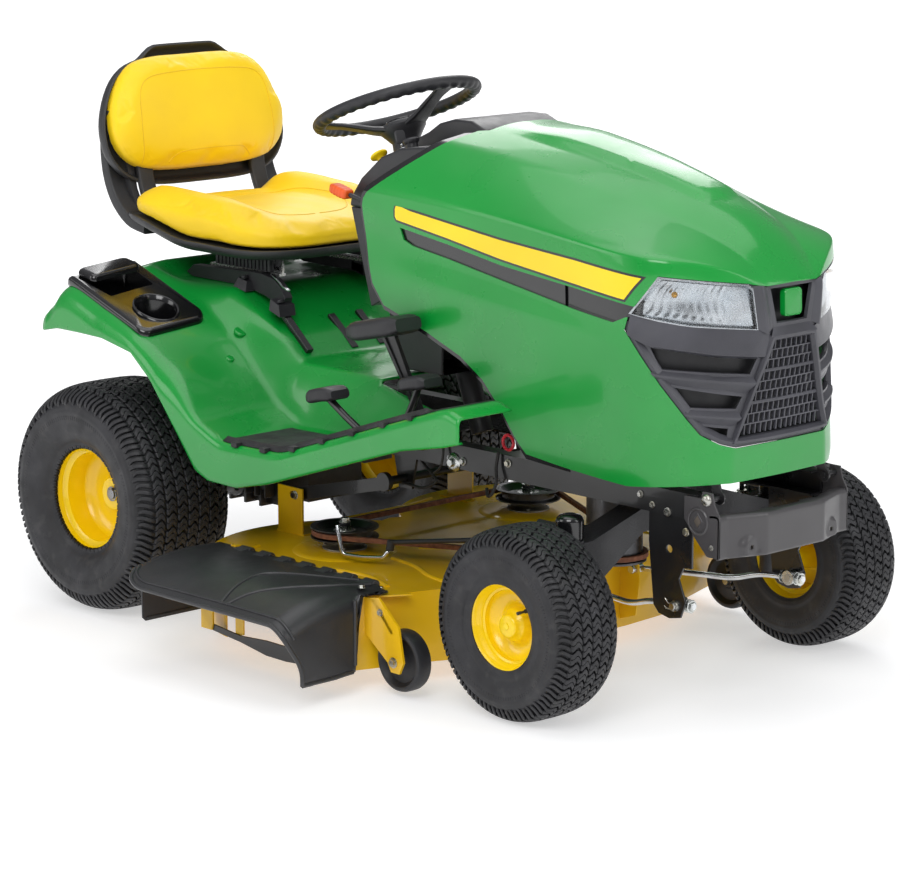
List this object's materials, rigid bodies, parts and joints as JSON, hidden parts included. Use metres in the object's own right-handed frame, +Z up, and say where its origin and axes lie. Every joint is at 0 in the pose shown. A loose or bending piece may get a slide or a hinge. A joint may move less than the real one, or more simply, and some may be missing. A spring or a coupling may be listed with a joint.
{
  "type": "riding lawn mower",
  "caption": "Lawn tractor with hinged hood, steered front axle, tilting seat, foot pedals and a lifting side-discharge mower deck with flip-up chute",
  "frame": {"origin": "centre of the machine's footprint, on the ground it stands on, taken over the whole bounding box with the chute down", "axes": "+X forward, +Y to the operator's left, +Z up"},
  "size_m": [1.887, 1.298, 1.192],
  "materials": {
    "green_body": "glossy moulded body colour, green",
    "yellow_paint": "satin yellow paint",
    "yellow_plastic": "glossy yellow",
    "yellow_vinyl": "smooth yellow vinyl",
    "black_paint": "satin black powder coat",
    "black_plastic": "fine-grained black plastic",
    "grip_plastic": "soft black moulding",
    "grille_plastic": "dark grey moulding",
    "black_rubber": "ribbed black rubber",
    "tyre_rubber": "black turf tyre",
    "belt_rubber": "brown cloth-faced belt",
    "bare_steel": "dull steel",
    "zinc_steel": "bright zinc plate",
    "engine_alloy": "cast alloy",
    "tank_plastic": "translucent white tank",
    "lamp_lens": "clear fluted lens over a bright reflector",
    "orange_knob": "orange knob"
  },
  "bodies": {
    "chassis": {"frame_rails": "black_paint", "front_bumper": "black_paint", "draft_hangers": "black_paint", "engine_block": "engine_alloy", "blower_housing": "black_plastic", "muffler": "bare_steel", "battery": "black_plastic", "fuel_tank": "tank_plastic", "transaxle": "engine_alloy", "fender_deck": "green_body", "foot_mats": "black_rubber", "storage_tray": "black_plastic", "seat_base": "black_paint", "dash_panel": "black_plastic", "dash_tower": "black_plastic", "steering_column": "black_paint", "bolts_and_pins": "zinc_steel", "drive_belt": "belt_rubber"},
    "crank": {"clutch_pulley": "bare_steel"},
    "input_drive": {"input_pulley": "bare_steel"},
    "tank_cap": {"fuel_cap": "black_plastic"},
    "seat_slider": {"seat_carriage": "black_paint"},
    "seat": {"seat_pan": "black_plastic", "seat_cushion": "yellow_vinyl", "seat_back_shell": "black_plastic", "seat_back_cushion": "yellow_vinyl"},
    "hand_wheel": {"steering_wheel": "grip_plastic"},
    "key": {"ignition_key": "zinc_steel"},
    "blade_switch": {"blade_switch_knob": "yellow_plastic"},
    "throttle": {"throttle_lever": "orange_knob"},
    "lift_foot": {"lift_pedal": "grip_plastic"},
    "brake_foot": {"brake_pedal": "grip_plastic"},
    "forward_foot": {"forward_pedal": "grip_plastic"},
    "reverse_foot": {"reverse_pedal": "grip_plastic"},
    "hood": {"hood_shell": "green_body", "grille": "grille_plastic", "headlights": "lamp_lens", "hood_stripes": "yellow_plastic", "hood_hinge": "black_paint"},
    "axle": {"front_axle": "black_paint"},
    "steer_right": {"knuckle_right": "black_paint"},
    "steer_left": {"knuckle_left": "black_paint"},
    "track_rod": {"tie_rod": "zinc_steel"},
    "front_wheel_right": {"front_tyre_right": "tyre_rubber", "front_rim_right": "yellow_paint"},
    "front_wheel_left": {"front_tyre_left": "tyre_rubber", "front_rim_left": "yellow_paint"},
    "rear_wheel_right": {"rear_tyre_right": "tyre_rubber", "rear_rim_right": "yellow_paint"},
    "rear_wheel_left": {"rear_tyre_left": "tyre_rubber", "rear_rim_left": "yellow_paint"},
    "deck": {"mower_deck": "yellow_paint", "deck_belt": "belt_rubber"},
    "chute": {"discharge_chute": "black_plastic"},
    "roller_right": {"gauge_wheel_right": "grip_plastic"},
    "roller_left": {"gauge_wheel_left": "grip_plastic"},
    "cutter_right": {"spindle_right": "bare_steel"},
    "cutter_left": {"spindle_left": "bare_steel"},
    "lift_linkage": {"lift_arms": "black_paint"},
    "draft_linkage": {"draft_rods": "zinc_steel"}
  },
  "joints": [
    {"name": "crank_spin", "type": "hinge", "parent": "chassis", "child": "crank", "pos_m": [0.4585, 0.093, 0.3], "axis": [0, 0, 1], "continuous": true},
    {"name": "input_pulley_spin", "type": "hinge", "parent": "chassis", "child": "input_drive", "pos_m": [-0.5575, 0.093, 0.366], "axis": [0, 0, 1], "continuous": true},
    {"name": "fuel_cap_turn", "type": "hinge", "parent": "chassis", "child": "tank_cap", "pos_m": [0.1825, 0.189, 0.86], "axis": [0, 0, 1], "range_deg": [0, 120]},
    {"name": "seat_slide", "type": "slide", "parent": "chassis", "child": "seat_slider", "axis": [1, 0, 0], "range_m": [-0.05, 0.03]},
    {"name": "seat_tilt", "type": "hinge", "parent": "seat_slider", "child": "seat", "pos_m": [-0.4275, 0.093, 0.752], "axis": [0, 1, 0], "range_deg": [0, 50]},
    {"name": "steering_turn", "type": "hinge", "parent": "chassis", "child": "hand_wheel", "pos_m": [-0.1935, 0.093, 1.092], "axis": [-0.3681, 0, 0.9298], "range_deg": [-226, 226]},
    {"name": "key_turn", "type": "hinge", "parent": "chassis", "child": "key", "pos_m": [-0.0075, -0.067, 1.0485], "axis": [-0.3206, 0, 0.9472], "range_deg": [0, 90]},
    {"name": "blade_switch_pull", "type": "slide", "parent": "chassis", "child": "blade_switch", "axis": [-0.646, 0, 0.7633], "range_m": [0, 0.012]},
    {"name": "throttle_move", "type": "hinge", "parent": "chassis", "child": "throttle", "pos_m": [0.0025, -0.143, 0.915], "axis": [0, 1, 0], "range_deg": [-14, 20]},
    {"name": "lift_pedal_press", "type": "hinge", "parent": "chassis", "child": "lift_foot", "pos_m": [0.1825, -0.169, 0.466], "axis": [0, 1, 0], "range_deg": [0, 34]},
    {"name": "brake_pedal_press", "type": "hinge", "parent": "chassis", "child": "brake_foot", "pos_m": [0.2825, 0.355, 0.47], "axis": [0, 1, 0], "range_deg": [0, 22]},
    {"name": "forward_pedal_press", "type": "hinge", "parent": "chassis", "child": "forward_foot", "pos_m": [0.1825, -0.307, 0.468], "axis": [0, -1, 0], "range_deg": [0, 14]},
    {"name": "reverse_pedal_press", "type": "hinge", "parent": "chassis", "child": "reverse_foot", "pos_m": [0.1825, -0.259, 0.468], "axis": [0, 1, 0], "range_deg": [0, 16]},
    {"name": "hood_open", "type": "hinge", "parent": "chassis", "child": "hood", "pos_m": [0.8815, 0.093, 0.437], "axis": [0, 1, 0], "range_deg": [0, 70]},
    {"name": "axle_tilt", "type": "hinge", "parent": "chassis", "child": "axle", "pos_m": [0.6225, 0.093, 0.356], "axis": [1, 0, 0], "range_deg": [-4, 4]},
    {"name": "kingpin_right", "type": "hinge", "parent": "axle", "child": "steer_right", "pos_m": [0.6225, -0.203, 0.28], "axis": [0, 0, 1], "range_deg": [-28, 28]},
    {"name": "kingpin_left", "type": "hinge", "parent": "axle", "child": "steer_left", "pos_m": [0.6225, 0.389, 0.28], "axis": [0, 0, 1], "range_deg": [-28, 28]},
    {"name": "tie_rod_swing", "type": "hinge", "parent": "steer_left", "child": "track_rod", "pos_m": [0.5385, 0.389, 0.322], "axis": [0, 0, 1], "range_deg": [-28, 28]},
    {"name": "front_wheel_right_spin", "type": "hinge", "parent": "steer_right", "child": "front_wheel_right", "pos_m": [0.6225, -0.319, 0.1905], "axis": [0, 1, 0], "continuous": true},
    {"name": "front_wheel_left_spin", "type": "hinge", "parent": "steer_left", "child": "front_wheel_left", "pos_m": [0.6225, 0.505, 0.1905], "axis": [0, 1, 0], "continuous": true},
    {"name": "rear_wheel_right_spin", "type": "hinge", "parent": "chassis", "child": "rear_wheel_right", "pos_m": [-0.6175, -0.337, 0.25], "axis": [0, 1, 0], "continuous": true},
    {"name": "rear_wheel_left_spin", "type": "hinge", "parent": "chassis", "child": "rear_wheel_left", "pos_m": [-0.6175, 0.523, 0.25], "axis": [0, 1, 0], "continuous": true},
    {"name": "deck_lift", "type": "slide", "parent": "chassis", "child": "deck", "axis": [0, 0, 1], "range_m": [0, 0.075]},
    {"name": "chute_swing", "type": "hinge", "parent": "deck", "child": "chute", "pos_m": [0.0225, -0.377, 0.206], "axis": [-1, 0, 0], "range_deg": [0, 55]},
    {"name": "gauge_wheel_right_spin", "type": "hinge", "parent": "deck", "child": "roller_right", "pos_m": [0.3505, -0.389, 0.073], "axis": [0, 1, 0], "continuous": true},
    {"name": "gauge_wheel_left_spin", "type": "hinge", "parent": "deck", "child": "roller_left", "pos_m": [0.3505, 0.575, 0.073], "axis": [0, 1, 0], "continuous": true},
    {"name": "spindle_right_spin", "type": "hinge", "parent": "deck", "child": "cutter_right", "pos_m": [-0.0655, -0.177, 0.15], "axis": [0, 0, 1], "continuous": true},
    {"name": "spindle_left_spin", "type": "hinge", "parent": "deck", "child": "cutter_left", "pos_m": [-0.0655, 0.363, 0.15], "axis": [0, 0, 1], "continuous": true},
    {"name": "lift_arm_turn", "type": "hinge", "parent": "chassis", "child": "lift_linkage", "pos_m": [0.0225, 0.093, 0.345], "axis": [0, 1, 0], "range_deg": [0, 15.98]},
    {"name": "draft_rod_turn", "type": "hinge", "parent": "chassis", "child": "draft_linkage", "pos_m": [0.7925, 0.093, 0.212], "axis": [0, 1, 0], "range_deg": [0, 11.87]}
  ],
  "couplings": [
    {"joint": "kingpin_right", "follows": "kingpin_left", "ratio": 1},
    {"joint": "tie_rod_swing", "follows": "kingpin_left", "ratio": -1},
    {"joint": "steering_turn", "follows": "kingpin_left", "ratio": 8},
    {"joint": "lift_arm_turn", "follows": "deck_lift", "rad_per_m": 3.6495},
    {"joint": "draft_rod_turn", "follows": "deck_lift", "rad_per_m": 2.6935},
    {"joint": "lift_pedal_press", "follows": "deck_lift", "rad_per_m": 7.7958},
    {"joint": "spindle_right_spin", "follows": "crank_spin", "ratio": 0.8},
    {"joint": "spindle_left_spin", "follows": "crank_spin", "ratio": 0.8},
    {"joint": "input_pulley_spin", "follows": "crank_spin", "ratio": 0.68}
  ]
}
